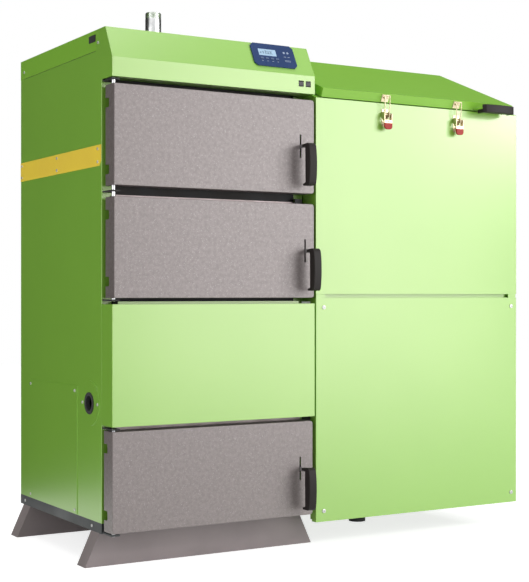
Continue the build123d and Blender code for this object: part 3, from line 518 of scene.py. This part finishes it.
def handle_grip(node, body, lying):
    """Moulded grip with the sleeve that it has round its steel arm, drawn hanging, then laid if asked."""
    low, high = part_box(node)
    size = high - low
    sleeve_rise, sleeve_wide, edge = 0.005, 0.011, 0.0028
    if lying:
        width, length = size.z, size.x - GRIP_ARM
        origin = Vector((low.x + sleeve_rise, 0, low.z))
        turn = Matrix(((0, 0, -1), (0, 1, 0), (1, 0, 0)))
    else:
        width, length = size.x, size.z - GRIP_ARM
        origin = Vector((low.x, 0, high.z - sleeve_rise))
        turn = Matrix.Identity(3)
    points, faces = [], []
    extruded(grip_outline(low.y, length), 0, width, points, faces)
    near, far = low.y + GRIP_DEEP - 0.008, low.y + GRIP_DEEP + 0.017
    sleeve = [(far, 0.0025), (near, sleeve_rise), (near, -0.006), (far, -0.0045)]
    extruded(sleeve, 0, sleeve_wide, points, faces)
    points = [origin + turn @ Vector(p) for p in points]
    piece = mesh_piece(f"{node}_moulded", points, faces, looks["grip_plastic"], body,
                       bevel=edge)
    piece.modifiers["rounding"].limit_method = "ANGLE"
    piece.modifiers["rounding"].angle_limit = math.radians(50)
    piece.modifiers["rounding"].segments = 4
    piece.modifiers.new("even_normals", "WEIGHTED_NORMAL")
    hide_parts(node)


def panel_point(across, up, out):
    """A point on the control panel's face: metres across, up the slope and out from it."""
    face_height = 0.002
    low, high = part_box("controller_bezel")
    centre = (low + high) / 2 + SLOPE_OUT * face_height
    return centre + Vector((across, 0, 0)) + SLOPE_UP * up + SLOPE_OUT * out


def panel_marks(name, shapes, look, out):
    """Thin printed shapes on the panel, each an outline of (across, up) points."""
    thick = 0.00025
    points, faces = [], []
    for shape in shapes:
        start, count = len(points), len(shape)
        points += [panel_point(x, y, out) for x, y in shape]
        points += [panel_point(x, y, out + thick) for x, y in shape]
        faces.append([start + k for k in reversed(range(count))])
        faces.append([start + count + k for k in range(count)])
        for k in range(count):
            nxt = (k + 1) % count
            faces.append((start + k, start + nxt, start + count + nxt, start + count + k))
    return mesh_piece(name, points, faces, look, "boiler", smooth=False)


def rectangle(x, y, wide, tall):
    return [(x - wide / 2, y - tall / 2), (x + wide / 2, y - tall / 2), (x + wide / 2, y + tall / 2),
            (x - wide / 2, y + tall / 2)]


def disc(x, y, r, count=24):
    return [(x + r * math.cos(2 * math.pi * k / count), y + r * math.sin(2 * math.pi * k / count))
            for k in range(count)]


def switch_frames():
    """A thin square frame round each rocker, on the fascia."""
    inner, outer, thick = 0.0073, 0.0082, 0.0006
    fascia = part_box("control_cowl")[0].y
    points, faces = [], []
    for node in ("left_rocker", "right_rocker"):
        low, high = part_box(node)
        x, z = (low.x + high.x) / 2, (low.z + high.z) / 2
        start = len(points)
        rings = ((inner, fascia), (inner, fascia - thick), (outer, fascia - thick), (outer, fascia))
        for half, y in rings:
            points += [(x + a * half, y, z + b * half) for a, b in ((-1, -1), (1, -1), (1, 1), (-1, 1))]
        faces += [[start + v for v in side] for side in ring_faces(4, 4)]
    mesh_piece("switch_frames", points, faces, looks["rocker_plastic"], "boiler",
               smooth=False, bevel=0.0002)


def seam_shadow_strips():
    """A thin dark strip along the joint between the top cover's side and each side sheet: painted shade,
    standing in for the shadow line under the cover's edge.
    """
    low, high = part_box("top_cover")
    tall, proud = 0.0005, 0.0002
    points, faces = [], []
    for x, away in ((low.x, -proud), (high.x, proud)):
        start = len(points)
        points += [(a, b, c) for a in (x, x + away) for b in (low.y + 0.002, high.y - 0.03)
                   for c in (low.z - tall, low.z + tall)]
        sides = ((0, 1, 3, 2), (4, 6, 7, 5), (0, 4, 5, 1), (2, 3, 7, 6), (0, 2, 6, 4), (1, 5, 7, 3))
        faces += [[start + v for v in (side if away > 0 else reversed(side))] for side in sides]
    mesh_piece("seam_shadow_strips", points, faces, looks["rail_paint"], "boiler", smooth=False)


def panel_print():
    """Bars and lines on the display, and symbols beside it and under the keys."""
    bars = []
    for k in range(5):
        step = k % 3
        bars.append(rectangle(-0.04 + 0.008 * k, 0.0065 + 0.0012 * step, 0.004, 0.006 + 0.0024 * step))
    bars += [rectangle(-0.012, y, 0.02, 0.0015) for y in (0.012, 0.004)]
    panel_marks("display_bars", bars, dark_mark, -0.0004)
    left, middle, right = 0.035, 0.041, 0.047
    symbols = [disc(x, 0.012, 0.0035) for x in (left, right)]
    symbols += [rectangle(x, -0.002, 0.007, 0.0018) for x in (left, right)]
    symbols += [rectangle(middle, y, 0.018, 0.0012) for y in (-0.014, -0.0175)]
    bezel_low, bezel_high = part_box("controller_bezel")
    panel_middle = (bezel_low.x + bezel_high.x) / 2
    for k in range(1, 5):
        low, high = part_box(f"panel_key_{k}")
        symbols.append(rectangle((low.x + high.x) / 2 - panel_middle, -0.0215, 0.005, 0.0014))
    panel_marks("panel_symbols", symbols, pale_mark, 0.0)


water_pipes()
screws()
switch_frames()
# Near-black strips at the top cover's joints: painted shade in the seams
seam_shadow_strips()
for door in ("upper", "middle", "lower"):
    handle_grip(f"{door}_handle_grip", f"{door}_handle", False)
handle_grip("lid_handle", "lid", True)
panel_print()


# Floor, light and camera

def floor_material():
    """Pale floor that shows the object's shadow; the camera and mirrors see it lifted towards white."""
    lift = 0.74
    made, tree, shader = new_material("floor")
    shader.inputs["Base Color"].default_value = (0.7, 0.7, 0.7, 1)
    shader.inputs["Roughness"].default_value = 0.9
    path = tree.nodes.new("ShaderNodeLightPath")
    seen = calculate(tree, "MAXIMUM", path.outputs["Is Camera Ray"], path.outputs["Is Glossy Ray"])
    glow = tree.nodes.new("ShaderNodeEmission")
    glow.inputs["Color"].default_value = (1, 1, 1, 1)
    tree.links.new(calculate(tree, "MULTIPLY", seen, lift), glow.inputs["Strength"])
    both = tree.nodes.new("ShaderNodeAddShader")
    tree.links.new(shader.outputs["BSDF"], both.inputs[0])
    tree.links.new(glow.outputs["Emission"], both.inputs[1])
    tree.links.new(both.outputs["Shader"], tree.nodes["Material Output"].inputs["Surface"])
    return made


def world_light(ambient):
    """Plain ambient light; the camera, mirrors and glass see white."""
    world = bpy.data.worlds.new("world")
    bpy.context.scene.world = world
    world.use_nodes = True
    tree = world.node_tree
    back = tree.nodes["Background"]
    back.inputs["Color"].default_value = (1, 1, 1, 1)
    path = tree.nodes.new("ShaderNodeLightPath")
    bent = calculate(tree, "MAXIMUM", path.outputs["Is Glossy Ray"], path.outputs["Is Transmission Ray"])
    seen = calculate(tree, "MAXIMUM", path.outputs["Is Camera Ray"], bent)
    tree.links.new(ramp(tree, seen, 0, 1, ambient, 1.0), back.inputs["Strength"])


def lamp(name, location, target, wide, tall, watts):
    data = bpy.data.lights.new(name, "AREA")
    data.shape = "RECTANGLE"
    data.size = wide
    data.size_y = tall
    data.energy = watts
    made = bpy.data.objects.new(name, data)
    made.location = location
    made.rotation_euler = (Vector(target) - Vector(location)).to_track_quat("-Z", "Y").to_euler()
    bpy.context.scene.collection.objects.link(made)


def pale_floor():
    """A wide floor just under the object."""
    half, gap = 9.0, 0.0005
    mesh = bpy.data.meshes.new("floor")
    corners = [(-half, -half, 0), (half, -half, 0), (half, half, 0), (-half, half, 0)]
    mesh.from_pydata(corners, [], [(0, 1, 2, 3)])
    floor = bpy.data.objects.new("floor", mesh)
    floor.location.z = -gap
    mesh.materials.append(floor_material())
    bpy.context.scene.collection.objects.link(floor)


def dark_card(corners, low, high, look, floored):
    """Black cards round a part of the room, and on its floor if asked, seen only in paint and metal."""
    points = [(x, y, z) for x, y in corners for z in (low, high)]
    faces = [(2 * k, 2 * k + 2, 2 * k + 3, 2 * k + 1) for k in range(len(corners) - 1)]
    if floored:
        faces.append([2 * k for k in range(len(corners))])
    mesh = bpy.data.meshes.new("dark_card")
    mesh.from_pydata(points, [], faces)
    mesh.materials.append(look)
    card = bpy.data.objects.new("dark_card", mesh)
    card.visible_camera = False
    card.visible_diffuse = False
    card.visible_shadow = False
    bpy.context.scene.collection.objects.link(card)


pale_floor()
card_black = surface("card_black", (0.01, 0.01, 0.01), (0.012, 0.012, 0.012), 0.9)
card_top = 6.0
dark_card([(-2.8, 0.2), (-2.8, 1.9), (-0.8, 3.2), (5.5, 3.2)], 0.001, card_top, card_black, True)
dark_card([(5.5, 3.2), (8.0, -2.0), (6.0, -7.0)], 0.6, card_top, card_black, False)
world_light(0.32)
lamp("key", (2.2, -3.8, 1.6), (0.0, -0.3, 0.9), 2.8, 3.1, 105)
lamp("hard", (3.6, -3.0, 2.1), (0.0, -0.3, 0.8), 0.5, 0.5, 45)
lamp("top", (-0.2, -0.2, 3.6), (0.0, 0.0, 0.6), 2.2, 2.2, 42)
lamp("side", (-3.6, -0.8, 1.3), (-0.65, 0.0, 0.75), 2.0, 2.0, 33)

camera_data = bpy.data.cameras.new("camera")
camera_data.sensor_width = 36
camera_data.lens = LENS
camera_data.shift_y = SHIFT_UP
camera = bpy.data.objects.new("camera", camera_data)
camera.location = EYE
camera.rotation_euler = (math.pi / 2, 0, math.radians(TURN))
bpy.context.scene.collection.objects.link(camera)
bpy.context.scene.camera = camera
bpy.context.scene.view_settings.view_transform = "Standard"
